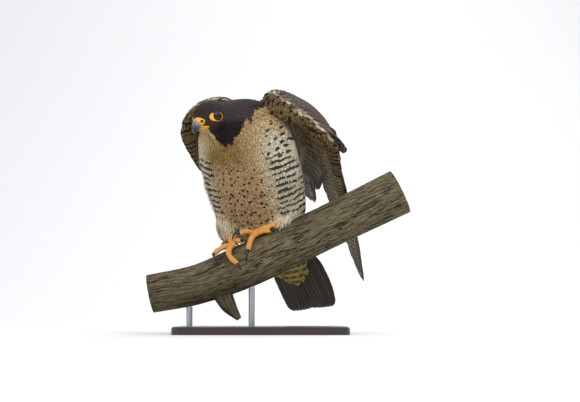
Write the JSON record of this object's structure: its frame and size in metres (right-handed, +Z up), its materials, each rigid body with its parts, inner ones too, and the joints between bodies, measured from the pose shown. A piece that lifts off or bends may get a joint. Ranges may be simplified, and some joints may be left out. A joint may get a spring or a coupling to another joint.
{
  "type": "peregrine falcon model on a perch",
  "caption": "Life-size still falcon leaning forward on a cut length of branch, wings half lifted, held over a flat base by short rods.",
  "frame": {"origin": "centre of the stand base's underside", "axes": "+Z up, -Y towards the side that the bird faces, +X along the rising end of the branch"},
  "size_m": [0.4171, 0.3703, 0.3839],
  "materials": {
    "pale_feathers": "soft body feathers, cream to buff with dark bars and drops",
    "dark_feathers": "short slate-brown hood feathers",
    "wing_feathers": "grey-brown coverts with pale edges and bars",
    "flight_feathers": "stiff dark flight feathers with pale bars",
    "yellow_skin": "bare orange-yellow skin with small scutes",
    "bill_horn": "blue-grey horn, darker at the tip",
    "claw_horn": "polished black horn",
    "eye": "wet dark brown eye",
    "weathered_wood": "grey, cracked wood without bark",
    "stand_plate": "satin dark powder coat",
    "stand_rod": "brushed steel"
  },
  "bodies": {
    "root": {"torso": "pale_feathers", "left_thigh": "pale_feathers", "right_thigh": "pale_feathers", "neck": "dark_feathers", "head": "dark_feathers", "left_wing_arm": "wing_feathers", "right_wing_arm": "wing_feathers", "left_wing_hand": "flight_feathers", "right_wing_hand": "flight_feathers", "tail": "flight_feathers", "cere": "yellow_skin", "left_eyelid": "yellow_skin", "right_eyelid": "yellow_skin", "left_foot": "yellow_skin", "right_foot": "yellow_skin", "bill_upper": "bill_horn", "bill_lower": "bill_horn", "left_eye": "eye", "right_eye": "eye", "left_claw_middle": "claw_horn", "left_claw_inner": "claw_horn", "left_claw_outer": "claw_horn", "left_claw_hind": "claw_horn", "right_claw_middle": "claw_horn", "right_claw_inner": "claw_horn", "right_claw_outer": "claw_horn", "right_claw_hind": "claw_horn", "perch": "weathered_wood", "stand_base": "stand_plate", "stand_rod_low": "stand_rod", "stand_rod_high": "stand_rod"}
  },
  "joints": []
}
